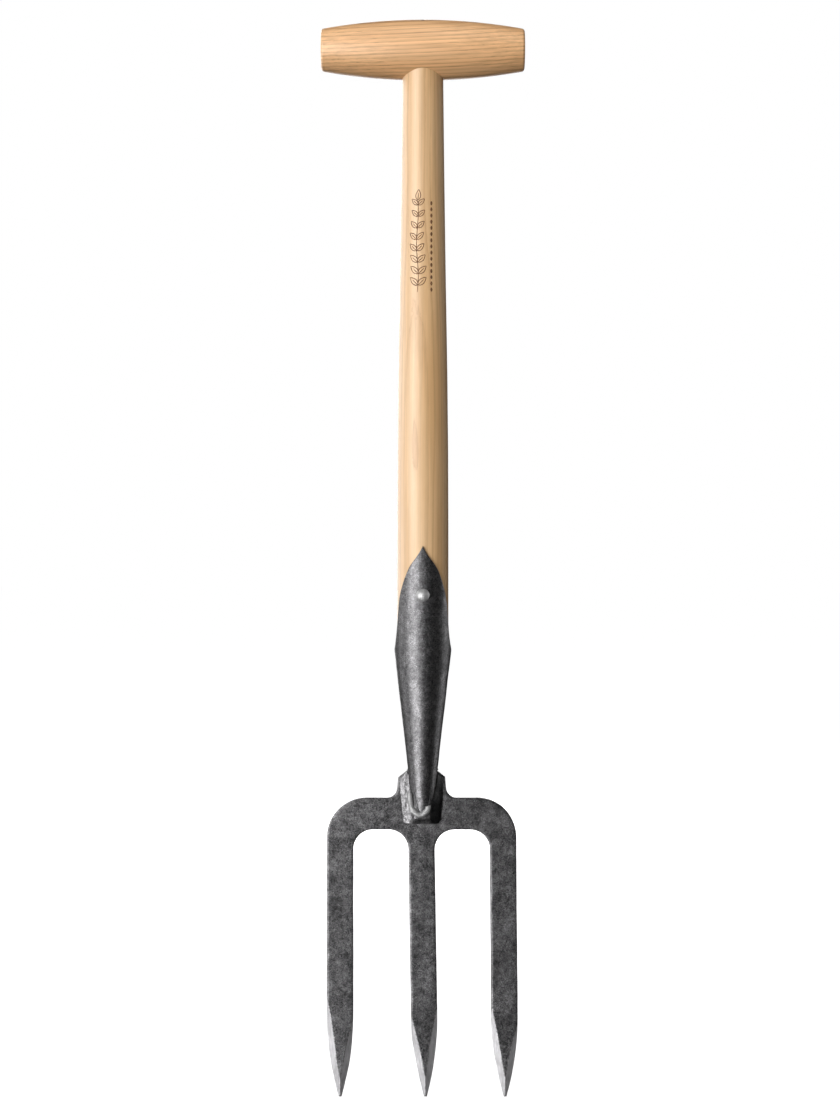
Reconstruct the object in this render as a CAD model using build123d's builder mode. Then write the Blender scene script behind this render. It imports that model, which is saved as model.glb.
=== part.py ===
"""Digging fork: ash T-grip and shaft, rolled steel socket, forged three-tine head.

Frame: +Z runs up the shaft from the tine tips to the grip, the front (the side with
the socket's pointed tongue) faces -Y, and the origin is on the shaft's axis, level
with the tine tips. Lengths are in millimetres.
"""

from build123d import *
import math
import os

# --- Cutters reach this far past the surfaces they cut ---
clear = 5.0

# --- T-grip: a turned barrel lying along X ---
overall_height = 830.0
grip_length = 156.4
grip_radius = 22.9
grip_end_radius = 16.0
grip_end_round = 2.5
grip_z = overall_height - grip_radius

# --- Shaft ---
shaft_radius = 19.7
shaft_swell_z = 440.0
shaft_taper = (
    (18.9, 560.0),
    (17.4, 650.0),
)
shaft_top_radius = 15.5
shaft_foot_z = 260.0
tenon_radius = 11.0
wedge_top_width = 2.6
wedge_foot_width = 1.0
wedge_depth = 26.0
pin_radius = 2.0
pin_drop = 9.0
pin_reach = 14.0

# --- Socket: a rolled cone with a pointed tongue up the front of the shaft ---
sheet = 2.3
socket_radius = shaft_radius + sheet
shoulder_z = 346.4
nose_z = 218.0
nose_radius = 7.36
seam_width = 1.6
seam_foot_z = 264.0
# The rim's height at each angle round from the front, in degrees.
rim = (
    (0, 425.5),
    (14, 416.8),
    (30, 408.8),
    (41, 400.5),
    (51, 391.0),
    (58.5, 380.0),
    (64, 366.0),
    (72, 354.0),
    (88, 346.4),
    (130, 341.5),
    (180, 338.5),
)
rim_top_z = rim[0][1]
rim_back_z = rim[-1][1]

# --- Rivet through tongue and shaft ---
rivet_z = 388.0
rivet_radius = 3.0
rivet_head_radius = 5.2
rivet_head_height = 3.4
washer_radius = 6.5
washer_thickness = 1.5
washer_sink = 1.2
seat_radius = 6.6
peen_radius = 4.6
peen_height = 2.0

# --- Fork head: one flat forging behind the shaft's axis ---
plate = 8.0
plate_front_y = 4.4
plate_back_y = plate_front_y + plate
head_x = -0.9
tine_pitch = 63.0
tine_width = 20.5
bar_top_z = 231.3
bar_foot_z = 206.8
shoulder_round = 30.5
slot_round = 15.4
tab_top_z = 252.6
tab_top_half = 11.2
tab_corner_z = 247.1
tab_corner_half = 18.2
tab_foot_half = 19.6
tab_round = 8.0
point_length = 61.0
tip_half = 1.05
lean_top_z = 190.0
bevel_length = 80.0
grind_tip = 0.9
grind_mid = 5.85
grind_mid_z = 31.0
grind_top = 10.1
grind_clear = 16.0
# Each tine's tip stands a little to one side of its root, as hand forging leaves it.
tines = (
    (head_x - tine_pitch, 0.0),
    (head_x, 3.0),
    (head_x + tine_pitch, 1.6),
)

# --- Neck block: a saddle on the front of the head that holds the socket's nose ---
block_front_y = -7.6
block_front_left = 5.6
block_front_right = 6.4
block_left_edge_y = 3.0
block_left_knee = (7.8, -2.6)
block_back_half = 16.9
block_foot_half = 14.4
block_foot_z = 211.8
block_top_z = 251.4
block_side_z = 237.0
block_top_chamfer = 5.0
block_foot_chamfer = 4.5
block_foot_round = 3.0
bead_radius = 2.2
bead_path_points = (
    (-9.0, -3.0, 236.0),
    (-8.5, -5.1, 228.0),
    (-6.0, -7.4, 222.0),
    (-1.6, -8.4, 219.4),
    (2.8, -8.4, 221.2),
    (4.8, -8.2, 226.5),
)
back_bead_radius = 2.0
back_bead_end_y = 5.0


def cone_radius(z):
    """The socket's outer radius at height z, below its shoulder."""
    share = (z - nose_z) / (shoulder_z - nose_z)
    return nose_radius + share * (socket_radius - nose_radius)


def barrel():
    """The grip's solid barrel, before it is mortised."""
    half = grip_length / 2
    with BuildPart() as turned:
        with BuildSketch(Plane.XZ) as profile:
            with BuildLine():
                ThreePointArc((-half, grip_end_radius), (0, grip_radius), (half, grip_end_radius))
                Polyline((half, grip_end_radius), (half, 0), (-half, 0), (-half, grip_end_radius))
            make_face()
            ends = profile.vertices().sort_by(Axis.Y)[-2:]
            fillet(ends, radius=grip_end_round)
        revolve(axis=Axis.X)
    return Pos(0, 0, grip_z) * turned.part


def socket_body(shrink):
    """The solid that the socket's outer face bounds, made smaller all round by shrink."""
    with BuildPart() as body:
        with BuildSketch(Plane.XZ):
            with BuildLine():
                Polyline(
                    (0, nose_z),
                    (nose_radius - shrink, nose_z),
                    (socket_radius - shrink, shoulder_z),
                    (socket_radius - shrink, rim_top_z + clear),
                    (0, rim_top_z + clear),
                    close=True,
                )
            make_face()
        revolve(axis=Axis.Z)
    return body.part


def rim_cutter():
    """Everything above the rim on the +X side, cut square to the sheet."""
    curves = []
    for radius in (shaft_radius - clear, socket_radius + clear):
        points = []
        for angle, z in rim:
            turn = math.radians(angle)
            points.append((radius * math.sin(turn), -radius * math.cos(turn), z))
        steps = [angle / rim[-1][0] for angle, z in rim]
        curves.append(Edge.make_spline([Vector(*p) for p in points], parameters=steps))
    sheet_edge = Face.make_surface_from_curves(*curves)
    return extrude(sheet_edge, amount=rim_top_z - rim_back_z + 2 * clear, dir=(0, 0, 1))


def wedge_body():
    """The grip wedge before its top is dressed flush: thin along X, tapering downwards."""
    top = overall_height + clear
    foot = overall_height - wedge_depth
    with BuildPart() as body:
        with BuildSketch(Plane.XZ):
            with BuildLine():
                Polyline(
                    (-wedge_top_width / 2, top),
                    (-wedge_foot_width / 2, foot),
                    (wedge_foot_width / 2, foot),
                    (wedge_top_width / 2, top),
                    close=True,
                )
            make_face()
        extrude(amount=tenon_radius, both=True)
    return body.part


def upright(radius, low, high):
    """A cylinder on the shaft's axis between two heights."""
    rod = Cylinder(radius, high - low, mode=Mode.PRIVATE)
    return Pos(0, 0, (low + high) / 2) * rod


def crosswise(radius, front, back, z):
    """A cylinder along Y between two depths."""
    rod = Cylinder(radius, back - front, mode=Mode.PRIVATE)
    return Pos(0, (front + back) / 2, z) * Rot(90, 0, 0) * rod


def slab(front, back, low, high):
    """A wide block between two depths and two heights."""
    block = Box(4 * socket_radius, back - front, high - low, mode=Mode.PRIVATE)
    return Pos(0, (front + back) / 2, (low + high) / 2) * block


def dome(radius, height):
    """A spherical cap standing on the XY plane."""
    ball = (radius**2 + height**2) / (2 * height)
    with BuildPart() as cap:
        with Locations((0, 0, height - ball)):
            Sphere(ball)
        split(bisect_by=Plane.XY)
    return cap.part


grip_barrel = barrel()
tenon_bore = upright(tenon_radius, grip_z - grip_radius - clear, overall_height + clear)
socket_outside = socket_body(0)
socket_inside = socket_body(sheet)
pin_z = grip_z - pin_drop
rivet_hole = crosswise(rivet_radius, -socket_radius - clear, shaft_radius + clear, rivet_z)
washer_front_y = shaft_radius - washer_sink
washer_back_y = washer_front_y + washer_thickness

# --- grip_pin: driven in from the back, through the tenon, dressed flush ---
pin_blank = crosswise(pin_radius, -pin_reach, grip_radius + clear, pin_z)
with BuildPart() as grip_pin:
    add(pin_blank)
    add(grip_barrel, mode=Mode.INTERSECT)

# --- grip_wedge: spreads the tenon along the grip's grain ---
with BuildPart() as grip_wedge:
    add(wedge_body())
    add(tenon_bore, mode=Mode.INTERSECT)
    add(grip_barrel, mode=Mode.INTERSECT)

# --- t_grip: the barrel, mortised right through for the tenon ---
with BuildPart() as t_grip:
    add(grip_barrel)
    add(tenon_bore, mode=Mode.SUBTRACT)
    add(pin_blank, mode=Mode.SUBTRACT)

# --- shaft: cone at the foot, full round to the swell, slimmer to the coped top ---
shaft_foot_radius = cone_radius(shaft_foot_z) - sheet
with BuildPart() as shaft:
    with BuildSketch(Plane.XZ):
        with BuildLine():
            Polyline(
                (0, shaft_foot_z),
                (shaft_foot_radius, shaft_foot_z),
                (shaft_radius, shoulder_z),
                (shaft_radius, shaft_swell_z),
            )
            Spline(
                (shaft_radius, shaft_swell_z),
                *shaft_taper,
                (shaft_top_radius, grip_z),
                tangents=((0, 1), (-0.012, 1)),
            )
            Polyline((shaft_top_radius, grip_z), (0, grip_z), (0, shaft_foot_z))
        make_face()
    revolve(axis=Axis.Z)
    add(grip_barrel, mode=Mode.SUBTRACT)
    add(tenon_bore & grip_barrel)
    add(grip_wedge.part, mode=Mode.SUBTRACT)
    add(pin_blank, mode=Mode.SUBTRACT)
    add(rivet_hole, mode=Mode.SUBTRACT)
    washer_seat = crosswise(seat_radius, washer_front_y, shaft_radius + clear, rivet_z)
    add(washer_seat, mode=Mode.SUBTRACT)

# --- socket: sheet cone and tongue, open along a seam at the back ---
with BuildPart() as socket:
    add(socket_outside)
    add(socket_inside, mode=Mode.SUBTRACT)
    cutter = rim_cutter()
    add(cutter, mode=Mode.SUBTRACT)
    mirror(cutter, about=Plane.YZ, mode=Mode.SUBTRACT)
    seam_top_z = shoulder_z + clear
    with BuildSketch(Plane.XZ.offset(-socket_radius - clear)):
        with Locations((0, (seam_foot_z + seam_top_z) / 2)):
            SlotOverall(seam_top_z - seam_foot_z, seam_width, rotation=90)
    extrude(amount=socket_radius + clear, mode=Mode.SUBTRACT)
    add(rivet_hole, mode=Mode.SUBTRACT)
    add(slab(plate_front_y, socket_radius, nose_z - clear, tab_top_z), mode=Mode.SUBTRACT)

# --- rivet: domed head on the tongue, peened end over the washer at the back ---
with BuildPart() as rivet:
    add(Pos(0, -socket_radius, rivet_z) * Rot(90, 0, 0) * dome(rivet_head_radius, rivet_head_height))
    add(crosswise(rivet_head_radius, -socket_radius, -shaft_radius, rivet_z))
    add(upright(socket_radius, rivet_z - shaft_radius, rivet_z + shaft_radius), mode=Mode.SUBTRACT)
    add(crosswise(rivet_radius, -socket_radius - rivet_head_height / 2, washer_back_y, rivet_z))
    add(Pos(0, washer_back_y, rivet_z) * Rot(-90, 0, 0) * dome(peen_radius, peen_height))

# --- rivet_washer: let into a flat on the back of the shaft ---
with BuildPart() as rivet_washer:
    add(crosswise(washer_radius, washer_front_y, washer_back_y, rivet_z))
    add(rivet_hole, mode=Mode.SUBTRACT)

# --- fork_head: tab, crossbar and tines in one plate ---
head_half = tine_pitch + tine_width / 2
bar_height = bar_top_z - bar_foot_z
lean_share = 1 - point_length / lean_top_z
with BuildPart() as fork_head:
    with BuildSketch(Plane.XZ.offset(-plate_back_y)) as outline:
        with Locations((head_x, (bar_top_z + bar_foot_z) / 2)):
            Rectangle(2 * head_half, bar_height)
        with BuildLine():
            Polyline(
                (head_x - tab_foot_half, bar_top_z),
                (head_x - tab_corner_half, tab_corner_z),
                (head_x - tab_top_half, tab_top_z),
                (head_x + tab_top_half, tab_top_z),
                (head_x + tab_corner_half, tab_corner_z),
                (head_x + tab_foot_half, bar_top_z),
                close=True,
            )
        make_face()
        for root_x, lean in tines:
            with BuildLine():
                for side in (-1, 1):
                    edge_x = root_x + side * tine_width / 2
                    point_x = edge_x + lean * lean_share
                    tip = (root_x + lean + side * tip_half, 0)
                    Polyline((edge_x, bar_foot_z), (edge_x, lean_top_z), (point_x, point_length))
                    TangentArc((point_x, point_length), tip, tangent=(0, -1))
                Line((root_x + lean - tip_half, 0), (root_x + lean + tip_half, 0))
                Line(
                    (root_x - tine_width / 2, bar_foot_z),
                    (root_x + tine_width / 2, bar_foot_z),
                )
            make_face()
        at_foot = outline.vertices().filter_by_position(Axis.Y, bar_foot_z - 1, bar_foot_z + 1)
        inner_left = head_x - head_half + tip_half
        inner_right = head_x + head_half - tip_half
        fillet(at_foot.filter_by_position(Axis.X, inner_left, inner_right), radius=slot_round)
        at_top = outline.vertices().filter_by_position(Axis.Y, bar_top_z - 1, bar_top_z + 1)
        fillet(at_top.filter_by_position(Axis.X, inner_left, inner_right), radius=tab_round)
        at_top = outline.vertices().filter_by_position(Axis.Y, bar_top_z - 1, bar_top_z + 1)
        shoulders = at_top.sort_by(Axis.X)
        fillet([shoulders[0], shoulders[-1]], radius=shoulder_round)
    extrude(amount=plate)
    # Each point is ground on four slopes at 45 degrees that fade out up the tine.
    for root_x, lean in tines:
        middle = (root_x + lean, plate_front_y + plate / 2, 0)
        for turn in (1, -1):
            grind = Plane(origin=middle, x_dir=(1, turn, 0), z_dir=(turn, -1, 0))
            with BuildSketch(grind):
                for side in (-1, 1):
                    with BuildLine():
                        ThreePointArc(
                            (side * grind_tip, 0),
                            (side * grind_mid, grind_mid_z),
                            (side * grind_top, bevel_length),
                        )
                        Polyline(
                            (side * grind_top, bevel_length),
                            (side * grind_clear, bevel_length),
                            (side * grind_clear, -clear),
                            (side * grind_tip, -clear),
                            (side * grind_tip, 0),
                        )
                    make_face()
            extrude(amount=grind_clear, both=True, mode=Mode.SUBTRACT)

# --- neck_block: a saddle whose front tapers and whose back lies on the plate ---
with BuildPart() as neck_block:
    with BuildSketch(Plane.XZ.offset(-plate_front_y)) as block_face:
        with BuildLine():
            Polyline(
                (head_x - block_foot_half, block_foot_z),
                (head_x - block_back_half, block_side_z),
                (head_x - block_back_half, block_top_z - block_top_chamfer),
                (head_x - block_back_half + block_top_chamfer, block_top_z),
                (head_x + block_back_half - block_top_chamfer, block_top_z),
                (head_x + block_back_half, block_top_z - block_top_chamfer),
                (head_x + block_back_half, block_side_z),
                (head_x + block_foot_half, block_foot_z),
                close=True,
            )
        make_face()
        fillet(block_face.vertices().group_by(Axis.Y)[0], radius=block_foot_round)
    extrude(amount=plate_front_y - block_front_y)
    with BuildSketch(Plane.XY.offset(block_foot_z)):
        with BuildLine():
            Polyline(
                (head_x - block_back_half, plate_front_y),
                (head_x - block_back_half, block_left_edge_y),
                (head_x - block_left_knee[0], block_left_knee[1]),
                (head_x - block_front_left, block_front_y),
                (head_x + block_front_right, block_front_y),
                (head_x + block_back_half, plate_front_y),
                close=True,
            )
        make_face()
    extrude(amount=block_top_z - block_foot_z, mode=Mode.INTERSECT)
    front_face = neck_block.faces().sort_by(Axis.Y)[0]
    chamfer(front_face.edges().sort_by(Axis.Z)[0], length=block_foot_chamfer)
    add(socket_outside, mode=Mode.SUBTRACT)

# --- front_weld: a bead round the socket's nose on the block's front face ---
with BuildPart() as front_weld:
    with BuildLine() as bead_path:
        Spline(*[(head_x + x, y, z) for x, y, z in bead_path_points])
    with BuildSketch(Plane(origin=bead_path.line @ 0, z_dir=bead_path.line % 0)):
        Circle(bead_radius)
    sweep()
    add(neck_block.part, mode=Mode.SUBTRACT)
    add(socket_outside, mode=Mode.SUBTRACT)

# --- back_weld: a bead round the back of the socket on the tab's top edge ---
with BuildPart() as back_weld:
    bead_ring_radius = cone_radius(tab_top_z)
    with Locations((0, 0, tab_top_z)):
        Torus(bead_ring_radius, back_bead_radius)
    ring_high = tab_top_z + back_bead_radius + clear
    add(slab(-socket_radius, back_bead_end_y, nose_z, ring_high), mode=Mode.SUBTRACT)
    add(slab(-socket_radius, socket_radius, nose_z, tab_top_z), mode=Mode.SUBTRACT)
    add(socket_outside, mode=Mode.SUBTRACT)
    add(fork_head.part, mode=Mode.SUBTRACT)
    add(neck_block.part, mode=Mode.SUBTRACT)

pieces = {
    "t_grip": t_grip,
    "grip_wedge": grip_wedge,
    "grip_pin": grip_pin,
    "shaft": shaft,
    "socket": socket,
    "socket_rivet": rivet,
    "rivet_washer": rivet_washer,
    "fork_head": fork_head,
    "neck_block": neck_block,
    "front_weld": front_weld,
    "back_weld": back_weld,
}
os.makedirs("parts", exist_ok=True)
for name, piece in pieces.items():
    piece.part.label = name
    export_step(piece.part, f"parts/{name}.step")
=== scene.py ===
"""Digging fork in a plain studio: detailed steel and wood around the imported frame.

Everything is in metres in the frame's own axes: +Z up the shaft, front towards -Y.
"""

import bpy
import bmesh
import math
import numpy as np
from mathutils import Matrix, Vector, geometry, noise
from mathutils.bvhtree import BVHTree


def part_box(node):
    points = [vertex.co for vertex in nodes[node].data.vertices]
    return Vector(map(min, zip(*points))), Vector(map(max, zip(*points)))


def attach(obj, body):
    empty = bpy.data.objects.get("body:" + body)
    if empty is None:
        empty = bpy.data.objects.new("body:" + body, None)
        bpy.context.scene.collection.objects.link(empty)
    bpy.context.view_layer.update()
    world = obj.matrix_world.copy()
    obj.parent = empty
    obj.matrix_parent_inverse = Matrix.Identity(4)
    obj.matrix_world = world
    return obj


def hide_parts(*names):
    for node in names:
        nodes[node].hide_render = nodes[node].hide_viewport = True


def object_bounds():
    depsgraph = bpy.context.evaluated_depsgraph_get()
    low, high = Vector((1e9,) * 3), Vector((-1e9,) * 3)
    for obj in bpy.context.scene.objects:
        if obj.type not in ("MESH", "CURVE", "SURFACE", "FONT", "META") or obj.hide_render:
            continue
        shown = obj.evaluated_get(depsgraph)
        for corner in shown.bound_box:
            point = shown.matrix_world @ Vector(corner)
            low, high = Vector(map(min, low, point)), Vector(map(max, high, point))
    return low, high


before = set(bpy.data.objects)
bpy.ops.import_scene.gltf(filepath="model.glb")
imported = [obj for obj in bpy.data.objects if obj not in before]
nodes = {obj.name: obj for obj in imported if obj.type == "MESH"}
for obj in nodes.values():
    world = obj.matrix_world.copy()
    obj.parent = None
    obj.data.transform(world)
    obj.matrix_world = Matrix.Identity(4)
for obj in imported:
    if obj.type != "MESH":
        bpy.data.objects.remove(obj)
cad_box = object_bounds()
MM = 0.001

# --- Camera: how far off it stands, and the picture's height over the tool's ---
CAMERA_DISTANCE = 1.8
FRAME_MARGIN = 1.03847
CAMERA_ASIDE = -2.15 * MM
CAMERA_DROP = 0.2 * MM

# --- Fork head ---
OUTLINE_STEP = 0.8 * MM
HEAD_GRID = 1.25 * MM
EDGE_ROUND = 1.0 * MM
GRIND_SLOPE = 0.64
KNIFE_LAND = 0.15 * MM
POINT_THINNING = 0.9 * MM
# How far up each tine the grinding reaches, as a share of the ground length below it:
# one pair (left side, right side) for each tine, from -X to +X.
GROUND_LENGTH = 80.0 * MM
GRIND_FRONT = ((1.0, 0.78), (0.82, 0.9), (0.9, 0.74))
GRIND_BACK = ((0.8, 0.95), (0.88, 0.8), (0.76, 0.92))
GRIND_FULL = 0.45

# --- Socket ---
SHEET = 2.3 * MM
SEAM_HALF = 0.8 * MM
SEAM_CLOSED_HALF = 0.12 * MM
SOCKET_COLUMNS = 240
SOCKET_ROWS = 190
SOCKET_INNER_ROWS = 40
RIM_ROUND = 0.7 * MM
SEAM_CORNER = 4.0 * MM

# --- Neck block: its left flank is painted lighter, as lit, and its right flank painted darker, as shade ---
FLANK_LEFT = -4.0 * MM
FLANK_RIGHT = 4.5 * MM

# --- Mark burnt into the shaft: distances across run round the shaft from its front ---
SPRIG_FOOT = 619.0 * MM
SPRIG_LENGTH = 70.0 * MM
SPRIG_ACROSS = -4.2 * MM
SPRIG_PAIRS = 8
STEM_SWAY = 0.7 * MM
STEM_WIDTH = 0.6 * MM
LEAF_WIDTH = 0.62 * MM
LOZENGES = 15
LOZENGE_ACROSS = 6.6 * MM
LOZENGE_HALF = 1.5 * MM
LOZENGE_WIDTH = 2.0 * MM
BURN_LIFT = 0.06 * MM
BURN_DEPTH = 0.2 * MM


def new_piece(name, verts, faces):
    """A mesh object that rides on the tool."""
    mesh = bpy.data.meshes.new(name)
    mesh.from_pydata([tuple(v) for v in verts], [], [tuple(f) for f in faces])
    mesh.validate()
    mesh.shade_smooth()
    piece = bpy.data.objects.new(name, mesh)
    bpy.context.scene.collection.objects.link(piece)
    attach(piece, "root")
    return piece


def face_outwards(piece):
    """Makes every face of a closed mesh look outwards."""
    bm = bmesh.new()
    bm.from_mesh(piece.data)
    bmesh.ops.recalc_face_normals(bm, faces=bm.faces[:])
    bm.to_mesh(piece.data)
    bm.free()


def set_attribute(piece, name, values):
    """Stores one number for each vertex, for the materials to read."""
    layer = piece.data.attributes.new(name, "FLOAT", "POINT")
    layer.data.foreach_set("value", np.asarray(values, np.float32))


def vertex_arrays(piece):
    """The piece's vertex places and normals, as two arrays."""
    count = len(piece.data.vertices)
    places = np.empty(count * 3, np.float32)
    normals = np.empty(count * 3, np.float32)
    piece.data.vertices.foreach_get("co", places)
    piece.data.vertices.foreach_get("normal", normals)
    return places.reshape(-1, 3).astype(float), normals.reshape(-1, 3).astype(float)


def relief(places, waves):
    """Sums smooth noise over (wavelength, height, seed) waves, in metres, at each place."""
    total = np.zeros(len(places))
    for length, height, seed in waves:
        shift = Vector((seed * 1.7, seed * 3.1, seed * 5.3))
        for i, p in enumerate(places):
            total[i] += height * noise.noise(Vector(p) / length + shift)
    return total


def displace(piece, heights):
    """Moves each vertex along its normal."""
    places, normals = vertex_arrays(piece)
    places += normals * np.asarray(heights)[:, None]
    piece.data.vertices.foreach_set("co", places.astype(np.float32).ravel())
    piece.data.update()


# ---------------------------------------------------------------- fork head


def section_loop(node, y):
    """The node's outline at depth y: an ordered loop of (x, z), anticlockwise from the front."""
    bm = bmesh.new()
    bm.from_mesh(nodes[node].data)
    bmesh.ops.remove_doubles(bm, verts=bm.verts[:], dist=1e-6)
    everything = bm.verts[:] + bm.edges[:] + bm.faces[:]
    cut = bmesh.ops.bisect_plane(bm, geom=everything, plane_co=(0, y, 0), plane_no=(0, 1, 0))
    edges = [g for g in cut["geom_cut"] if isinstance(g, bmesh.types.BMEdge)]
    ring = set(edges)
    edge = edges[0]
    start = vert = edge.verts[0]
    loop = []
    while True:
        loop.append((vert.co.x, vert.co.z))
        vert = edge.other_vert(vert)
        if vert is start:
            break
        edge = next(e for e in vert.link_edges if e in ring and e is not edge)
    bm.free()
    loop = np.array(loop)
    following = np.roll(loop, -1, axis=0)
    area = (loop[:, 0] * following[:, 1] - following[:, 0] * loop[:, 1]).sum()
    return loop if area > 0 else loop[::-1]


def resample(loop, step):
    """Splits every side longer than step into equal parts."""
    points = []
    for a, b in zip(loop, np.roll(loop, -1, axis=0)):
        parts = max(1, math.ceil(np.linalg.norm(b - a) / step))
        for k in range(parts):
            points.append(a + (b - a) * k / parts)
    return np.array(points)


def inward_normals(loop):
    """Unit normals at the loop's points, towards its inside."""
    along = np.roll(loop, -1, axis=0) - np.roll(loop, 1, axis=0)
    along /= np.linalg.norm(along, axis=1)[:, None]
    return np.column_stack((-along[:, 1], along[:, 0]))


def distance_to(loop, points):
    """Each point's distance to the closed loop."""
    a = loop
    ab = np.roll(loop, -1, axis=0) - a
    length2 = (ab**2).sum(axis=1)
    result = np.empty(len(points))
    for first in range(0, len(points), 1000):
        some = points[first : first + 1000]
        ap = some[:, None, :] - a[None]
        share = np.clip((ap * ab[None]).sum(axis=2) / length2[None], 0, 1)
        off = ap - share[..., None] * ab[None]
        result[first : first + 1000] = np.sqrt((off**2).sum(axis=2).min(axis=1))
    return result


def crossings(loop, z):
    """Where the loop crosses height z, from -X to +X."""
    following = np.roll(loop, -1, axis=0)
    hit = (loop[:, 1] - z) * (following[:, 1] - z) < 0
    a, b = loop[hit], following[hit]
    return np.sort(a[:, 0] + (b[:, 0] - a[:, 0]) * (z - a[:, 1]) / (b[:, 1] - a[:, 1]))


def tine_axes(loop, top):
    """Heights from the tips up to top, and each tine's middle x at each height."""
    heights = np.linspace(0.3 * MM, top, 160)
    middles = []
    for z in heights:
        xs = crossings(loop, z)
        middles.append([(xs[2 * k] + xs[2 * k + 1]) / 2 for k in range(3)])
    return heights, np.array(middles).T


def inside(loop, points):
    """Which points lie inside the loop, by counting crossings to their right."""
    a, b = loop, np.roll(loop, -1, axis=0)
    result = np.empty(len(points), bool)
    for first in range(0, len(points), 1000):
        some = points[first : first + 1000]
        above_a = a[None, :, 1] > some[:, 1, None]
        above_b = b[None, :, 1] > some[:, 1, None]
        rise = np.where(b[:, 1] == a[:, 1], 1e-12, b[:, 1] - a[:, 1])
        x = a[None, :, 0] + (b - a)[None, :, 0] * (some[:, 1, None] - a[None, :, 1]) / rise[None]
        result[first : first + 1000] = ((above_a != above_b) & (x > some[:, 0, None])).sum(1) % 2
    return result


def sharpen_creases(piece, ground):
    """Keeps the shading crisp where a ground bevel meets the forged face."""
    bm = bmesh.new()
    bm.from_mesh(piece.data)
    bm.faces.ensure_lookup_table()
    bevel = [sum(ground[v.index] for v in f.verts) / len(f.verts) > 0.25 for f in bm.faces]
    for edge in bm.edges:
        pair = [f.index for f in edge.link_faces]
        if len(pair) == 2 and bevel[pair[0]] != bevel[pair[1]] and edge.calc_face_angle(0) > 0.15:
            edge.smooth = False
    bm.to_mesh(piece.data)
    bm.free()


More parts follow.
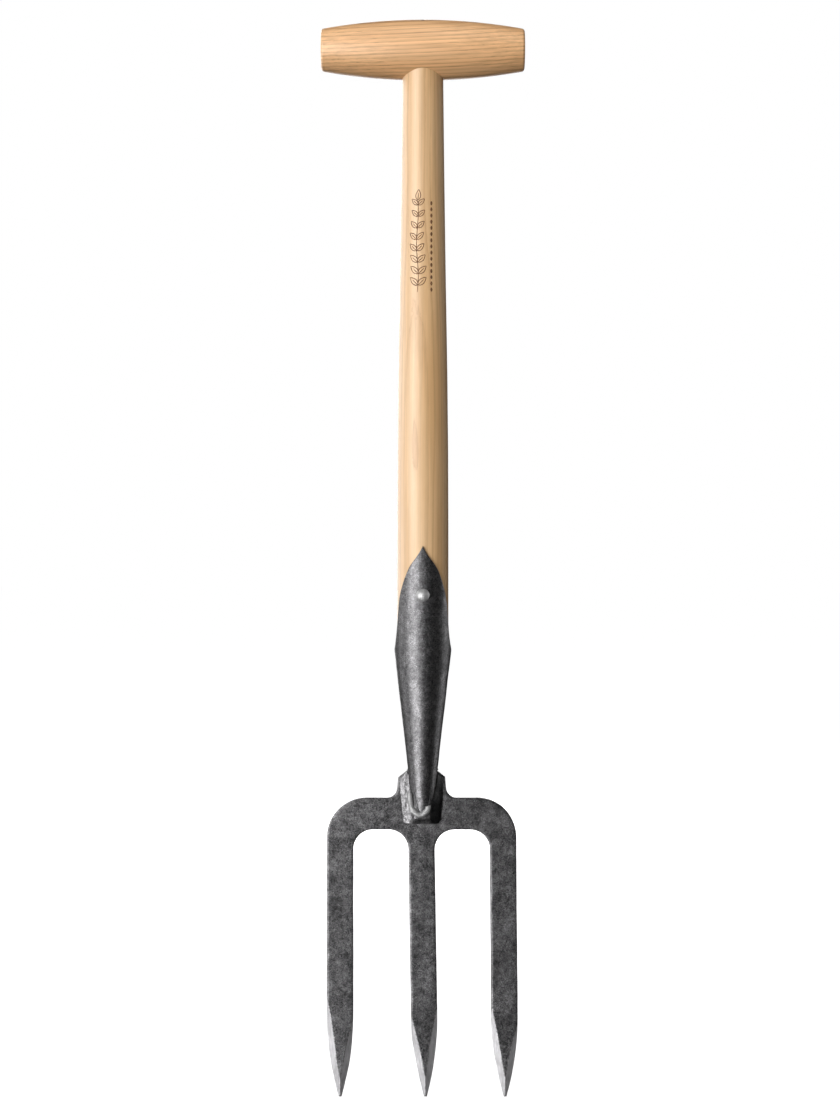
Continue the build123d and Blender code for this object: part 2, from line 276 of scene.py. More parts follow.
def build_fork_head():
    """The forged plate: rounded edges, hand-ground points and a faintly uneven skin."""
    low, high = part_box("fork_head")
    half = (high.y - low.y) / 2
    middle_y = (high.y + low.y) / 2
    loop = resample(section_loop("fork_head", middle_y + 1e-5), OUTLINE_STEP)
    heights, middles = tine_axes(loop, 1.3 * GROUND_LENGTH)

    def edge_land(points, grind):
        """How thick the edge is left by the grinding at each point, on one face."""
        xs, zs = points[:, 0], points[:, 1]
        axes = np.array([np.interp(zs, heights, m) for m in middles])
        tine = np.abs(axes - xs).argmin(axis=0)
        side = (xs > axes[tine, np.arange(len(xs))]).astype(int)
        top = np.array(grind)[tine, side] * GROUND_LENGTH
        full = GRIND_FULL * top
        share = np.clip((zs - full) / (top - full), 0, None)
        return KNIFE_LAND + half * share**2

    def thickness(points, d, grind):
        """Height of the face over the plate's middle, and whether grinding made it."""
        inner = np.clip(EDGE_ROUND - d, 0, EDGE_ROUND)
        drawn = np.clip(1 - points[:, 1] / (1.1 * GROUND_LENGTH), 0, 1) ** 1.5
        forged = half - POINT_THINNING * drawn - EDGE_ROUND + np.sqrt(EDGE_ROUND**2 - inner**2)
        ground = edge_land(points, grind) + GRIND_SLOPE * d
        return np.minimum(forged, ground), np.clip((forged - ground) / (0.1 * MM), 0, 1)

    normals = inward_normals(loop)
    extra = []
    for share in (0.12, 0.4, 1.0):
        extra.append(loop + normals * share * EDGE_ROUND)
    for grind in (GRIND_FRONT, GRIND_BACK):
        drawn = np.clip(1 - loop[:, 1] / (1.1 * GROUND_LENGTH), 0, 1) ** 1.5
        crease = (half - POINT_THINNING * drawn - edge_land(loop, grind)) / GRIND_SLOPE
        keep = (crease > EDGE_ROUND) & (loop[:, 1] < 1.2 * GROUND_LENGTH)
        extra.append((loop + normals * crease[:, None])[keep])
    ridge_z = np.arange(0.8, 30, 0.8) * MM
    for m in middles:
        extra.append(np.column_stack((np.interp(ridge_z, heights, m), ridge_z)))
    columns = np.arange(loop[:, 0].min(), loop[:, 0].max(), HEAD_GRID)
    rows = np.arange(loop[:, 1].min(), loop[:, 1].max(), HEAD_GRID * 0.866)
    grid = []
    for k, z in enumerate(rows):
        shift = HEAD_GRID / 2 * (k % 2)
        grid.append(np.column_stack((columns + shift, np.full(len(columns), z))))
    grid = np.concatenate(grid)
    grid = grid[inside(loop, grid)]
    grid = grid[distance_to(loop, grid) > 1.6 * EDGE_ROUND]
    rings = np.concatenate(extra)
    rings = rings[inside(loop, rings)]
    rings = rings[distance_to(loop, rings) > 0.1 * EDGE_ROUND]
    points = np.concatenate((loop, rings, grid))
    count = len(loop)
    sides = [(k, (k + 1) % count) for k in range(count)]
    flat = [Vector((x / MM, z / MM)) for x, z in points]
    out = geometry.delaunay_2d_cdt(flat, sides, [], 1, 0.05)
    points = np.array([(v.x * MM, v.y * MM) for v in out[0]])
    faces = out[2]
    d = distance_to(loop, points)
    on_edge = d < 0.02 * EDGE_ROUND
    d[on_edge] = 0
    front, front_ground = thickness(points, d, GRIND_FRONT)
    back, back_ground = thickness(points, d, GRIND_BACK)
    total = len(points)
    verts = [(x, middle_y - h, z) for (x, z), h in zip(points, front)]
    verts += [(x, middle_y + h, z) for (x, z), h in zip(points, back)]
    # Seen from the front, x runs right and z up, so anticlockwise faces look at -Y.
    mesh_faces = [tuple(f) for f in faces]
    mesh_faces += [tuple(total + k for k in reversed(f)) for f in faces]
    ground = list(front_ground) + list(back_ground)
    wear_and_painted_light = list(0.5 * np.exp(-d / (0.5 * EDGE_ROUND))) * 2
    used = {}
    for f in faces:
        for a, b in zip(f, list(f[1:]) + [f[0]]):
            used[(a, b)] = True
    rim = [(a, b) for a, b in used if (b, a) not in used]
    wall_rows = 6
    wall = {}
    for a, b in rim:
        if a not in wall:
            x, z = points[a]
            lane = [a]
            for k in range(1, wall_rows):
                y = middle_y - front[a] + (front[a] + back[a]) * k / wall_rows
                verts.append((x, y, z))
                ground.append(0.0)
                wear_and_painted_light.append(0.15)
                lane.append(len(verts) - 1)
            lane.append(total + a)
            wall[a] = lane
    for a, b in rim:
        for k in range(wall_rows):
            mesh_faces.append((wall[b][k], wall[a][k], wall[a][k + 1], wall[b][k + 1]))
    piece = new_piece("forged_head", verts, mesh_faces)
    face_outwards(piece)
    places, _ = vertex_arrays(piece)
    bumps = relief(places, ((22 * MM, 0.16 * MM, 1), (7 * MM, 0.07 * MM, 2), (2.5 * MM, 0.03 * MM, 3)))
    calm = np.clip(places[:, 2] / (12 * MM), 0, 1)
    displace(piece, (bumps - 0.08 * MM) * calm)
    sharpen_creases(piece, ground)
    set_attribute(piece, "ground", ground)
    set_attribute(piece, "wear_and_painted_light", wear_and_painted_light)
    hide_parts("fork_head")
    return piece


# ------------------------------------------------------------------- socket


def ray_tree(node):
    """A CAD node's surface, ready for ray casts."""
    bm = bmesh.new()
    bm.from_mesh(nodes[node].data)
    tree = BVHTree.FromBMesh(bm)
    bm.free()
    return tree


def build_socket():
    """The rolled sheet: a cone with a tongue in front and a seam behind."""
    low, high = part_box("socket")
    tree = ray_tree("socket")
    tab_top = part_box("fork_head")[1].z
    shoulder_radius = high.x
    axis_far = 0.1

    def outer_radius(z):
        hit = tree.ray_cast(Vector((0.0005, -axis_far, z)), Vector((0, 1, 0)))[0]
        return shoulder_radius if hit is None else min(shoulder_radius, math.hypot(hit.x, hit.y))

    levels = np.linspace(low.z + 0.2 * MM, high.z - 3 * MM, 120)
    radii = np.array([outer_radius(z) for z in levels])
    mid_radius = shoulder_radius - SHEET / 2
    angles = np.radians(np.linspace(0, 176, 177))
    rims = []
    for a in angles:
        above = Vector((mid_radius * math.sin(a), -mid_radius * math.cos(a), high.z + 0.05))
        rims.append(tree.ray_cast(above, Vector((0, 0, -1)))[0].z)
    rims = np.array(rims)

    verts = []
    wear_and_painted_light = []
    row_count = 0
    for column in range(SOCKET_COLUMNS + 1):
        u = 2 * column / SOCKET_COLUMNS - 1
        turn = abs(u) * math.pi
        rim_z = float(np.interp(turn, angles, rims))
        seam_distance = (math.pi - turn) * shoulder_radius
        if seam_distance < SEAM_CORNER:
            share = 1 - seam_distance / SEAM_CORNER
            rim_z -= SEAM_CORNER * (1 - math.sqrt(max(0.0, 1 - share**2)))
        behind = min(1.0, max(0.0, (math.degrees(turn) - 108) / 10))
        foot_z = low.z + (tab_top - 0.5 * MM - low.z) * behind
        path = []
        for k in range(SOCKET_ROWS):
            path.append((0.0, foot_z + (rim_z - RIM_ROUND - foot_z) * k / (SOCKET_ROWS - 1), 0))
        for k in range(1, 8):
            swing = math.pi * k / 8
            inward = SHEET / 2 * (1 - math.cos(swing))
            path.append((inward, rim_z - RIM_ROUND + RIM_ROUND * math.sin(swing), 1))
        for k in range(SOCKET_INNER_ROWS):
            share = 1 - k / (SOCKET_INNER_ROWS - 1)
            path.append((SHEET, foot_z + (rim_z - RIM_ROUND - foot_z) * share, 0))
        for inward, z, edge in path:
            radius = float(np.interp(z, levels, radii))
            opened = min(1.0, max(0.0, (z - tab_top) / (14 * MM)))
            gap = SEAM_CLOSED_HALF + (SEAM_HALF - SEAM_CLOSED_HALF) * opened
            a = u * (math.pi - gap / radius)
            r = radius - inward
            verts.append((r * math.sin(a), -r * math.cos(a), z))
            wear_and_painted_light.append(float(edge) if inward < 0.6 * SHEET else 0.0)
        row_count = len(path)
    faces = []
    for column in range(SOCKET_COLUMNS):
        for k in range(row_count):
            a = column * row_count + k
            b = column * row_count + (k + 1) % row_count
            faces.append((a, a + row_count, b + row_count, b))
    faces.append(tuple(range(row_count)))
    last = SOCKET_COLUMNS * row_count
    faces.append(tuple(last + k for k in reversed(range(row_count))))
    piece = new_piece("rolled_socket", verts, faces)
    face_outwards(piece)
    places, _ = vertex_arrays(piece)
    bumps = relief(places, ((26 * MM, 0.22 * MM, 4), (9 * MM, 0.09 * MM, 5), (3 * MM, 0.04 * MM, 6)))
    outer = np.hypot(places[:, 0], places[:, 1])
    skin = outer > np.interp(places[:, 2], levels, radii) - 0.3 * SHEET
    displace(piece, np.where(skin, bumps, 0))
    set_attribute(piece, "ground", np.zeros(len(places)))
    set_attribute(piece, "wear_and_painted_light", wear_and_painted_light)
    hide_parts("socket")
    return piece


# ------------------------------------------------- block, welds and rivet


def remeshed_copy(name, node, voxel):
    """A copy of a CAD node in small even faces, its edges eased."""
    bm = bmesh.new()
    bm.from_mesh(nodes[node].data)
    bmesh.ops.remove_doubles(bm, verts=bm.verts[:], dist=1e-6)
    mesh = bpy.data.meshes.new(name)
    bm.to_mesh(mesh)
    bm.free()
    rough = bpy.data.objects.new(name + "_rough", mesh)
    bpy.context.scene.collection.objects.link(rough)
    change = rough.modifiers.new("remesh", "REMESH")
    change.mode = "VOXEL"
    change.voxel_size = voxel
    change.use_smooth_shade = True
    ease = rough.modifiers.new("ease", "SMOOTH")
    ease.factor = 0.5
    ease.iterations = 3
    graph = bpy.context.evaluated_depsgraph_get()
    fine = bpy.data.meshes.new_from_object(rough.evaluated_get(graph))
    bpy.data.objects.remove(rough)
    fine.name = name
    fine.shade_smooth()
    piece = bpy.data.objects.new(name, fine)
    bpy.context.scene.collection.objects.link(piece)
    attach(piece, "root")
    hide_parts(node)
    return piece


def build_neck():
    """The block, lumpiest on its left flank, with painted light on that flank and painted shade on the
    right one, and the two beads.
    """
    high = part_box("neck_block")[1]
    block = remeshed_copy("forged_neck", "neck_block", 0.5 * MM)
    places, _ = vertex_arrays(block)
    left = np.clip((FLANK_LEFT - places[:, 0]) / (3 * MM), 0, 1)
    smooth = relief(places, ((9 * MM, 0.6 * MM, 7),))
    rough = relief(places, ((4 * MM, 0.4 * MM, 8), (1.8 * MM, 0.14 * MM, 9)))
    in_front = np.clip((high.y - 0.8 * MM - places[:, 1]) / (3 * MM), 0, 1)
    displace(block, (smooth + rough * (0.15 + left) - 0.25 * MM) * in_front)
    set_attribute(block, "ground", np.zeros(len(places)))
    # Painted light: the front of the left flank is painted lighter, as if lit from the left.
    set_attribute(block, "wear_and_painted_light", 0.55 * left * in_front)
    # Painted shade: the right flank is painted darker, as if it lay in shade.
    set_attribute(block, "painted_shade", np.clip((places[:, 0] - FLANK_RIGHT) / (2 * MM), 0, 1))
    bead = remeshed_copy("front_bead", "front_weld", 0.3 * MM)
    places, _ = vertex_arrays(bead)
    displace(bead, relief(places, ((4 * MM, 0.3 * MM, 10), (1.6 * MM, 0.16 * MM, 11))))
    back = remeshed_copy("back_bead", "back_weld", 0.3 * MM)
    places, _ = vertex_arrays(back)
    displace(back, relief(places, ((3 * MM, 0.35 * MM, 12), (1.2 * MM, 0.12 * MM, 13))))
    return block, bead, back


def build_rivet():
    """The rivet, its dome faintly dented by the hammer."""
    rivet = remeshed_copy("domed_rivet", "socket_rivet", 0.3 * MM)
    places, _ = vertex_arrays(rivet)
    dents = relief(places, ((5 * MM, 0.08 * MM, 14), (1.5 * MM, 0.02 * MM, 15)))
    displace(rivet, dents - 0.03 * MM)
    return rivet


# --------------------------------------------------------------- burnt mark


def stroke(path, width):
    """A burnt line as a closed band, in (across, up) places: its verts and faces.

    Each vert is (across, up, lift), lift being the height over the wood.
    """
    path = np.array(path, float)
    along = np.gradient(path, axis=0)
    along /= np.linalg.norm(along, axis=1)[:, None]
    side = np.column_stack((-along[:, 1], along[:, 0])) * width / 2
    side[0] *= 0.4
    side[-1] *= 0.4
    verts = []
    for p, q in zip(path, side):
        for sign, lift in ((1, BURN_LIFT), (-1, BURN_LIFT), (-1, -BURN_DEPTH), (1, -BURN_DEPTH)):
            verts.append((p[0] + sign * q[0], p[1] + sign * q[1], lift))
    faces = []
    for k in range(len(path) - 1):
        for j in range(4):
            a, b = 4 * k + j, 4 * k + (j + 1) % 4
            faces.append((a, b, b + 4, a + 4))
    last = 4 * (len(path) - 1)
    faces += [(3, 2, 1, 0), (last, last + 1, last + 2, last + 3)]
    return verts, faces


def leaf(base, turn, length, swell):
    """The strokes of one leaf: two bowed edges and a short midrib, turned from straight up."""
    tip = Vector((math.sin(turn), math.cos(turn))) * length
    out = Vector((tip.y, -tip.x)).normalized() * swell
    strokes = []
    for bow in (1, -1, 0):
        reach = 1.0 if bow else 0.7
        path = []
        for t in np.linspace(0, reach, 11 if bow else 5):
            path.append(Vector(base) + tip * t + out * bow * math.sin(math.pi * t**0.85))
        strokes.append(path)
    return strokes


def stem_place(share):
    """Where the swaying stem is, (across, up), at a share of its length."""
    across = SPRIG_ACROSS + STEM_SWAY * math.sin(9 * share)
    return across, SPRIG_FOOT + SPRIG_LENGTH * share


def build_sprig():
    """A leaf sprig and a row of lozenges, burnt into the front of the shaft."""
    tree = ray_tree("shaft")
    low_z, high_z = SPRIG_FOOT, SPRIG_FOOT + SPRIG_LENGTH
    levels = np.linspace(low_z - 10 * MM, high_z + 15 * MM, 60)
    radii = [-tree.ray_cast(Vector((1e-4, -0.1, z)), Vector((0, 1, 0)))[0].y for z in levels]
    strokes = []
    stem = [stem_place(t) for t in np.linspace(0, 1, 30)]
    strokes.append((stem, STEM_WIDTH))
    for k in range(SPRIG_PAIRS):
        t = (k + 0.6) / SPRIG_PAIRS
        base = stem_place(t)
        size = 1.0 - 0.25 * t
        for side in (-1, 1):
            for path in leaf(base, side * 0.8, 9.0 * MM * size, 2.1 * MM * size):
                strokes.append((path, LEAF_WIDTH))
    for path in leaf((stem[-1][0], high_z), 0.1, 8.5 * MM, 1.9 * MM):
        strokes.append((path, LEAF_WIDTH))
    for k in range(LOZENGES):
        z = low_z + 2 * MM + (SPRIG_LENGTH - 4 * MM) * k / (LOZENGES - 1)
        path = [(LOZENGE_ACROSS, z + LOZENGE_HALF * t) for t in (-1, 0, 1)]
        strokes.append((path, LOZENGE_WIDTH))
    verts, faces = [], []
    for path, width in strokes:
        flat, sides = stroke(path, width)
        first = len(verts)
        for across, z, lift in flat:
            turn = across / float(np.interp(z, levels, radii))
            outwards = Vector((math.sin(turn), -math.cos(turn), 0))
            start = outwards * 0.1 + Vector((0, 0, z))
            wood = tree.ray_cast(start, -outwards)[0]
            verts.append(wood + outwards * lift)
        faces += [tuple(first + v for v in face) for face in sides]
    piece = new_piece("burnt_sprig", verts, faces)
    face_outwards(piece)
    return piece


# ---------------------------------------------------------------- materials


def new_material(name):
    """A material with its node tree and its principled shader."""
    material = bpy.data.materials.new(name)
    material.use_nodes = True
    return material, material.node_tree, material.node_tree.nodes["Principled BSDF"]


def add_node(tree, kind, inputs=(), **settings):
    """Adds a shader node; inputs are (socket, value or output) pairs."""
    made = tree.nodes.new("ShaderNode" + kind)
    for key, value in settings.items():
        setattr(made, key, value)
    for socket, value in inputs:
        if isinstance(value, bpy.types.NodeSocket):
            tree.links.new(value, made.inputs[socket])
        else:
            made.inputs[socket].default_value = value
    return made


def noise_at(tree, place, scale, detail=4.0, rough=0.6, warp=0.0):
    inputs = [("Vector", place), ("Scale", scale), ("Detail", detail)]
    inputs += [("Roughness", rough), ("Distortion", warp)]
    return add_node(tree, "TexNoise", inputs).outputs["Fac"]


def stretched(tree, place, scale):
    inputs = (("Vector", place), ("Scale", scale))
    return add_node(tree, "Mapping", inputs).outputs["Vector"]


def ramp(tree, fac, stops):
    """A colour ramp; stops are (position, value or colour)."""
    made = add_node(tree, "ValToRGB", (("Fac", fac),))
    elements = made.color_ramp.elements
    while len(elements) < len(stops):
        elements.new(0.5)
    for element, (position, value) in zip(elements, stops):
        element.position = position
        colour = value if isinstance(value, tuple) else (value, value, value)
        element.color = (*colour, 1.0)
    return made.outputs["Color"]


def mix(tree, fac, a, b, blend="MIX"):
    """Mixes two colours; each may be an output, a colour or a grey value."""
    made = add_node(tree, "Mix", (), data_type="RGBA", blend_type=blend)
    for index, value in ((0, fac), (6, a), (7, b)):
        if isinstance(value, bpy.types.NodeSocket):
            tree.links.new(value, made.inputs[index])
        elif index == 0:
            made.inputs[index].default_value = value
        else:
            colour = value if isinstance(value, tuple) else (value, value, value)
            made.inputs[index].default_value = (*colour, 1.0)
    return made.outputs[2]


def math_node(tree, operation, a, b=0.0, clamp=False):
    made = add_node(tree, "Math", ((0, a), (1, b)), operation=operation, use_clamp=clamp)
    return made.outputs[0]


def bump(tree, height, distance, strength=1.0, after=None):
    inputs = [("Height", height), ("Distance", distance), ("Strength", strength)]
    if after is not None:
        inputs.append(("Normal", after))
    return add_node(tree, "Bump", inputs).outputs["Normal"]


def attribute(tree, name):
    return add_node(tree, "Attribute", (), attribute_name=name).outputs["Fac"]


def black_steel(name, light, fleck, cloud_depth):
    """Forged steel under dark scale: speckled, pitted, scuffed, bright where ground or worn, and painted
    lighter where painted light is laid on.

    light is the scale's middle reflectance, fleck the contrast of its speckles and cloud_depth
    that of the larger patches. Where the painted-shade attribute is 1, the scale is painted five times
    darker, as shade.
    """
    material, tree, shader = new_material(name)
    place = add_node(tree, "TexCoord").outputs["Object"]
    patch = ramp(tree, noise_at(tree, place, 34, 3, 0.55), ((0.38, 0.0), (0.6, 1.0)))
    speckle = noise_at(tree, place, 900, 5, 0.8)
    grain = noise_at(tree, place, 330, 4, 0.7, 0.8)
    mottle = noise_at(tree, place, 90, 5, 0.65)
    broad = noise_at(tree, place, 40, 3, 0.6)
    dark, bright = light * (1 - 0.75 * fleck), light * (1 + 1.6 * fleck)
    coarse = ramp(tree, speckle, ((0.36, dark), (0.5, light), (0.64, bright)))
    dark, bright = light * (1 - 0.5 * fleck), light * (1 + 0.8 * fleck)
    even = ramp(tree, speckle, ((0.36, dark), (0.5, light), (0.64, bright)))
    skin = mix(tree, patch, even, coarse)
    cloud = ramp(tree, mottle, ((0.3, 1 - cloud_depth), (0.7, 1 + cloud_depth)))
    skin = mix(tree, 1.0, skin, cloud, "MULTIPLY")
    cloud = ramp(tree, broad, ((0.35, 1 - 0.6 * cloud_depth), (0.65, 1 + 0.6 * cloud_depth)))
    skin = mix(tree, 1.0, skin, cloud, "MULTIPLY")
    clots = ramp(tree, grain, ((0.36, 1 - 0.6 * fleck), (0.5, 1.0), (0.64, 1 + 0.45 * fleck)))
    skin = mix(tree, 1.0, skin, clots, "MULTIPLY")
    worm = noise_at(tree, place, 300, 2, 0.5, 2.2)
    thin = math_node(tree, "ABSOLUTE", math_node(tree, "SUBTRACT", worm, 0.5))
    thin = ramp(tree, thin, ((0.0, 1.0), (0.012, 1.0), (0.03, 0.0)))
    here = ramp(tree, noise_at(tree, place, 150, 3, 0.6), ((0.5, 0.0), (0.6, 0.9)))
    marks = math_node(tree, "MULTIPLY", thin, here)
    skin = mix(tree, marks, skin, 2.6 * light)
    # Bright steel where edges are worn, and painted light on the neck block's left flank.
    edge = ramp(tree, speckle, ((0.4, 0.2), (0.6, 1.0)))
    edge = math_node(tree, "MULTIPLY", attribute(tree, "wear_and_painted_light"), edge)
    skin = mix(tree, edge, skin, 0.5)
    streaks = noise_at(tree, stretched(tree, place, (900, 900, 90)), 1.0, 3, 0.6)
    bright = ramp(tree, streaks, ((0.3, 0.58), (0.7, 0.84)))
    ground = ramp(tree, mottle, ((0.28, 0.8), (0.5, 1.0)))
    ground = math_node(tree, "MULTIPLY", attribute(tree, "ground"), ground, True)
    # Painted shade: five times darker where the shade attribute is 1, on the neck block's right flank.
    skin = mix(tree, attribute(tree, "painted_shade"), skin, mix(tree, 1.0, skin, 0.2, "MULTIPLY"))
    tinted = mix(tree, 1.0, mix(tree, ground, skin, bright), (1.0, 0.985, 1.01), "MULTIPLY")
    tree.links.new(tinted, shader.inputs["Base Color"])
    rough = ramp(tree, speckle, ((0.35, 0.36), (0.65, 0.5)))
    tree.links.new(mix(tree, ground, rough, 0.48), shader.inputs["Roughness"])
    shader.inputs["Metallic"].default_value = 0.95
    relief_height = mix(tree, ground, mix(tree, 0.5, speckle, grain), streaks)
    normal = bump(tree, relief_height, 0.18 * MM, 0.6)
    normal = bump(tree, mottle, 0.5 * MM, 0.35, normal)
    tree.links.new(normal, shader.inputs["Normal"])
    return material


def weld_steel(name):
    """Weld bead: lighter and duller than the scale round it."""
    material, tree, shader = new_material(name)
    place = add_node(tree, "TexCoord").outputs["Object"]
    speckle = noise_at(tree, place, 1100, 5, 0.7)
    mottle = noise_at(tree, place, 260, 4, 0.6)
    colour = ramp(tree, speckle, ((0.3, 0.3), (0.7, 0.55)))
    shade = ramp(tree, mottle, ((0.3, 0.8), (0.7, 1.15)))
    tree.links.new(mix(tree, 1.0, colour, shade, "MULTIPLY"), shader.inputs["Base Color"])
    tree.links.new(ramp(tree, speckle, ((0.3, 0.5), (0.7, 0.65))), shader.inputs["Roughness"])
    shader.inputs["Metallic"].default_value = 0.6
    tree.links.new(bump(tree, speckle, 0.1 * MM, 0.6), shader.inputs["Normal"])
    return material


def bright_steel(name):
    """Plain steel: rivet, washer and pin."""
    material, tree, shader = new_material(name)
    place = add_node(tree, "TexCoord").outputs["Object"]
    fine = noise_at(tree, place, 1600, 3, 0.6)
    patch = noise_at(tree, place, 500, 4, 0.6)
    colour = ramp(tree, patch, ((0.3, 0.55), (0.7, 0.78)))
    shade = ramp(tree, fine, ((0.3, 0.9), (0.7, 1.05)))
    tree.links.new(mix(tree, 1.0, colour, shade, "MULTIPLY"), shader.inputs["Base Color"])
    tree.links.new(ramp(tree, patch, ((0.3, 0.46), (0.7, 0.6))), shader.inputs["Roughness"])
    shader.inputs["Metallic"].default_value = 0.7
    tree.links.new(bump(tree, fine, 0.03 * MM, 0.4), shader.inputs["Normal"])
    return material


def ash(name, along, tilt, pith, colours, ring, drift, strength_low, pore_depth, fibre_low):
    """Lacquered ash: growth rings round a far-off pith, pores in the early wood.

    along is the grain's axis (0 or 2), tilt its lean in radians; pith is the ring centre in the
    other two axes; colours are pale, tan and brown.
    """
    pale, tan, brown = colours
    material, tree, shader = new_material(name)
    place = add_node(tree, "TexCoord").outputs["Object"]
    turned = (("Vector", place), ("Rotation", (0.0, tilt, 0.0)))
    place = add_node(tree, "Mapping", turned).outputs["Vector"]
    wander = [38.0, 38.0, 38.0]
    wander[along] = 5.0
    inputs = (("Vector", stretched(tree, place, tuple(wander))), ("Scale", 1.0), ("Detail", 2.0))
    sway = add_node(tree, "TexNoise", inputs)
    inputs = ((0, sway.outputs["Color"]), (1, (0.5, 0.5, 0.5)))
    bend = add_node(tree, "VectorMath", inputs, operation="SUBTRACT")
    inputs = ((0, bend.outputs[0]), (1, (drift, drift, drift)))
    bent = add_node(tree, "VectorMath", inputs, operation="MULTIPLY")
    moved = add_node(tree, "VectorMath", ((0, place), (1, bent.outputs[0])), operation="ADD")
    centred = add_node(tree, "VectorMath", ((0, moved.outputs[0]), (1, pith)), operation="SUBTRACT")
    flat = [1.0, 1.0, 1.0]
    flat[along] = 0.0
    across = add_node(tree, "VectorMath", ((0, centred.outputs[0]), (1, tuple(flat))), operation="MULTIPLY")
    distance = add_node(tree, "VectorMath", ((0, across.outputs[0]),), operation="LENGTH")
    distance = distance.outputs["Value"]
    turn = math_node(tree, "DIVIDE", distance, ring)
    phase = math_node(tree, "FRACT", turn)
    which = math_node(tree, "FLOOR", turn)
    vary = add_node(tree, "TexWhiteNoise", (("W", which),), noise_dimensions="1D").outputs["Value"]
    stops = ((0.0, 1.0), (0.10, 0.75), (0.34, 0.12), (0.8, 0.0), (0.97, 0.25), (1.0, 1.0))
    early = ramp(tree, phase, stops)
    stretch = [1500.0, 1500.0, 1500.0]
    stretch[along] = 55.0
    pores = noise_at(tree, stretched(tree, place, tuple(stretch)), 1.0, 2, 0.5)
    pores = ramp(tree, pores, ((0.52, 0.0), (0.66, 1.0)))
    fibre_scale = [650.0, 650.0, 650.0]
    fibre_scale[along] = 9.0
    fibre = noise_at(tree, stretched(tree, place, tuple(fibre_scale)), 1.0, 4, 0.6)
    cloud_scale = [60.0, 60.0, 60.0]
    cloud_scale[along] = 6.0
    cloud = noise_at(tree, stretched(tree, place, tuple(cloud_scale)), 1.0, 3, 0.5)
    late = mix(tree, ramp(tree, cloud, ((0.35, 0.0), (0.65, 1.0))), pale, tan)
    strength = math_node(tree, "MULTIPLY_ADD", vary, 0.5)
    strength.node.inputs[2].default_value = strength_low
    ringed = mix(tree, math_node(tree, "MULTIPLY", early, strength), late, brown)
    pore_mask = math_node(tree, "MULTIPLY", pores, math_node(tree, "MULTIPLY", early, pore_depth))
    dashed = mix(tree, pore_mask, ringed, tuple(c * 0.8 for c in brown))
    lines = ramp(tree, fibre, ((0.3, fibre_low), (0.7, 2 - fibre_low)))
    toned = mix(tree, 1.0, dashed, lines, "MULTIPLY")
    tree.links.new(toned, shader.inputs["Base Color"])
    tree.links.new(ramp(tree, fibre, ((0.3, 0.34), (0.7, 0.48))), shader.inputs["Roughness"])
    shader.inputs["Specular IOR Level"].default_value = 0.5
    shader.inputs["Coat Weight"].default_value = 1.0
    shader.inputs["Coat Roughness"].default_value = 0.5
    shader.inputs["Coat IOR"].default_value = 1.6
    tree.links.new(bump(tree, dashed, 0.05 * MM, 0.35), shader.inputs["Normal"])
    return material


def burnt_wood(name):
    """Wood scorched by a hot stamp, darker where it bit deeper."""
    material, tree, shader = new_material(name)
    place = add_node(tree, "TexCoord").outputs["Object"]
    bite = noise_at(tree, place, 170, 3, 0.6)
    fibre = noise_at(tree, stretched(tree, place, (900, 900, 60)), 1.0, 3, 0.6)
    colour = ramp(tree, bite, ((0.3, (0.1, 0.045, 0.02)), (0.7, (0.26, 0.13, 0.06))))
    colour = mix(tree, 1.0, colour, ramp(tree, fibre, ((0.3, 0.8), (0.7, 1.15))), "MULTIPLY")
    tree.links.new(colour, shader.inputs["Base Color"])
    shader.inputs["Roughness"].default_value = 0.6
    return material


def paint(piece, material):
    piece.data.materials.clear()
    piece.data.materials.append(material)


# -------------------------------------------------------------------- stage


def soft_light(name, azimuth, elevation, distance, size, power, shows, receivers):
    """An area light aimed at the tool; azimuth runs from the camera's side, positive to the right.

    shows is "both", "gloss" (reflections only) or "matt" (no reflections); receivers names the
    group of pieces that it lights, or is empty for all of them.
    """
    aim = (Vector(cad_box[0]) + Vector(cad_box[1])) / 2
    turn, tilt = math.radians(azimuth), math.radians(elevation)
    away = Vector((math.sin(turn) * math.cos(tilt), -math.cos(turn) * math.cos(tilt), math.sin(tilt)))
    lamp = bpy.data.lights.new(name, "AREA")
    lamp.shape = "RECTANGLE"
    lamp.size, lamp.size_y = size
    lamp.energy = power
    holder = bpy.data.objects.new(name, lamp)
    holder.location = aim + away * distance
    holder.rotation_euler = (-away).to_track_quat("-Z", "Y").to_euler()
    holder.visible_glossy = shows != "matt"
    holder.visible_diffuse = shows != "gloss"
    bpy.context.scene.collection.objects.link(holder)
    if receivers:
        holder.light_linking.receiver_collection = groups[receivers]
    return holder


# Each light: name, azimuth and elevation in degrees, distance, (width, height), watts, what it
# shows, and on which group of pieces.
LIGHTS = (
    ("key", -39, -10, 1.9, (1.4, 1.4), 32.0, "gloss", "lower"),
    ("key_matt", -42, 12, 1.9, (0.75, 1.7), 21.0, "matt", ""),
    ("front_fill", -20, 14, 2.4, (1.4, 1.8), 13.5, "matt", ""),
    ("low_fill", -8, -12, 1.8, (1.2, 0.4), 12.0, "matt", ""),
    ("front_card", -6, -5, 2.6, (1.3, 1.6), 1.9, "gloss", "lower"),
    ("under_card", -20, -70, 1.5, (1.0, 1.0), 0.8, "gloss", "lower"),
    ("point_card", 62, -12, 2.0, (0.9, 0.9), 2.2, "gloss", "head"),
    ("upper_key", -42, 8, 1.9, (1.3, 1.5), 27.0, "gloss", "upper"),
    ("upper_side", -115, 6, 1.8, (1.6, 2.2), 24.0, "gloss", "upper"),
    ("left_card", -100, 5, 1.8, (1.1, 1.8), 8.0, "gloss", ""),
    ("back_left", -150, 20, 2.2, (1.2, 1.8), 8.0, "both", ""),
    ("back_right", 108, 0, 2.2, (1.1, 1.8), 7.5, "gloss", "lower"),
    ("side_fill", 122, 8, 2.0, (1.0, 1.8), 9.0, "matt", ""),
    ("back_fill", 190, 15, 2.2, (1.6, 1.8), 22.0, "both", ""),
    ("top", 0, 70, 2.0, (1.6, 1.6), 17.0, "matt", ""),
)


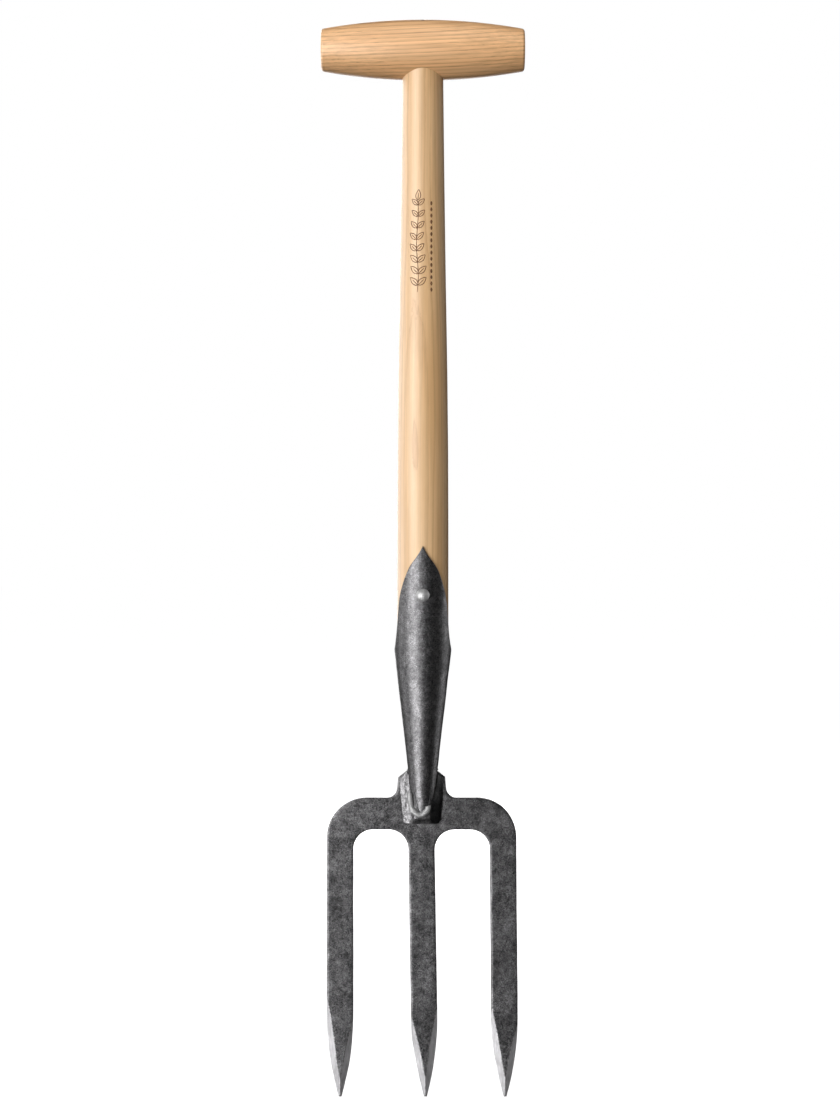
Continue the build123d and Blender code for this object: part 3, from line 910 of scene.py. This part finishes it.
def build_stage():
    """A pale floor and white air behind the tool, soft lights and the camera.

    The floor glows a little and takes no shadow, so that it stays as pale as the air behind it.
    """
    low, high = Vector(cad_box[0]), Vector(cad_box[1])
    middle = (low + high) / 2
    reach = 30.0
    corners = ((-reach, -reach), (reach, -reach), (reach, reach), (-reach, reach))
    verts = [(x, y, low.z) for x, y in corners]
    mesh = bpy.data.meshes.new("studio_floor")
    mesh.from_pydata(verts, [], [(0, 1, 2, 3)])
    floor = bpy.data.objects.new("studio_floor", mesh)
    bpy.context.scene.collection.objects.link(floor)
    material, tree, shader = new_material("pale_floor")
    shader.inputs["Base Color"].default_value = (0.8, 0.8, 0.8, 1)
    shader.inputs["Roughness"].default_value = 0.9
    shader.inputs["Specular IOR Level"].default_value = 0.0
    shader.inputs["Emission Color"].default_value = (1, 1, 1, 1)
    place = add_node(tree, "TexCoord").outputs["Object"]
    away = add_node(tree, "VectorMath", ((0, place),), operation="LENGTH").outputs["Value"]
    inputs = [("Value", away), ("From Min", 0.3), ("From Max", 2.5)]
    inputs += [("To Min", 0.74), ("To Max", 1.0)]
    glow = add_node(tree, "MapRange", inputs)
    tree.links.new(glow.outputs[0], shader.inputs["Emission Strength"])
    floor.data.materials.append(material)
    floor.visible_glossy = False
    floor.visible_diffuse = False
    floor.visible_shadow = False

    for light in LIGHTS:
        soft_light(*light)
    world = bpy.data.worlds.new("studio")
    bpy.context.scene.world = world
    world.use_nodes = True
    world.node_tree.nodes["Background"].inputs["Color"].default_value = (1, 1, 1, 1)
    world.node_tree.nodes["Background"].inputs["Strength"].default_value = 1.0
    world.cycles_visibility.diffuse = False
    world.cycles_visibility.glossy = False
    bpy.context.scene.view_settings.view_transform = "Standard"

    camera = bpy.data.cameras.new("camera")
    frame_height = FRAME_MARGIN * (high.z - low.z)
    camera.lens = camera.sensor_width * CAMERA_DISTANCE / frame_height
    holder = bpy.data.objects.new("camera", camera)
    holder.location = (CAMERA_ASIDE, -CAMERA_DISTANCE, middle.z - CAMERA_DROP)
    holder.rotation_euler = (math.pi / 2, 0, 0)
    bpy.context.scene.collection.objects.link(holder)
    bpy.context.scene.camera = holder


# The groups of pieces that a light can be limited to.
groups = {name: bpy.data.collections.new(name) for name in ("upper", "lower", "head")}
build_stage()
head = build_fork_head()
socket = build_socket()
block, front_bead, back_bead = build_neck()
rivet = build_rivet()
sprig = build_sprig()
for piece in (nodes["t_grip"], nodes["shaft"], nodes["grip_wedge"], nodes["grip_pin"], sprig):
    groups["upper"].objects.link(piece)
for piece in (head, socket, block, front_bead, back_bead, rivet, nodes["rivet_washer"]):
    groups["lower"].objects.link(piece)
groups["head"].objects.link(head)

plate_steel = black_steel("blackened_plate", 0.134, 0.9, 0.4)
socket_steel = black_steel("blackened_sheet", 0.165, 0.6, 0.15)
neck_steel = black_steel("neck_steel", 0.17, 0.7, 0.35)
bead_steel = weld_steel("weld_metal")
clean_steel = bright_steel("bright_steel")
paint(head, plate_steel)
paint(socket, socket_steel)
paint(block, neck_steel)
for piece in (front_bead, back_bead):
    paint(piece, bead_steel)
for piece in (rivet, nodes["rivet_washer"], nodes["grip_pin"]):
    paint(piece, clean_steel)

GRIP_COLOURS = ((0.86, 0.525, 0.265), (0.79, 0.455, 0.215), (0.5, 0.255, 0.11))
SHAFT_COLOURS = ((0.73, 0.485, 0.26), (0.66, 0.405, 0.19), (0.48, 0.265, 0.115))
WEDGE_COLOURS = ((0.42, 0.24, 0.11), (0.34, 0.18, 0.08), (0.2, 0.1, 0.04))
grip_pith, shaft_pith, wedge_pith = (0.0, 0.035, 0.62), (0.05, 0.16, 0.0), (0.08, 0.02, 0.0)
grip_ash = ash("grip_ash", 0, 0.045, grip_pith, GRIP_COLOURS, 2.9 * MM, 0.004, 0.45, 0.8, 0.84)
shaft_ash = ash("shaft_ash", 2, 0.0, shaft_pith, SHAFT_COLOURS, 2.6 * MM, 0.007, 0.22, 0.3, 0.9)
wedge_wood = ash("wedge_wood", 2, 0.0, wedge_pith, WEDGE_COLOURS, 1.8 * MM, 0.003, 0.4, 0.7, 0.9)
paint(sprig, burnt_wood("burnt_wood"))
paint(nodes["t_grip"], grip_ash)
paint(nodes["shaft"], shaft_ash)
paint(nodes["grip_wedge"], wedge_wood)
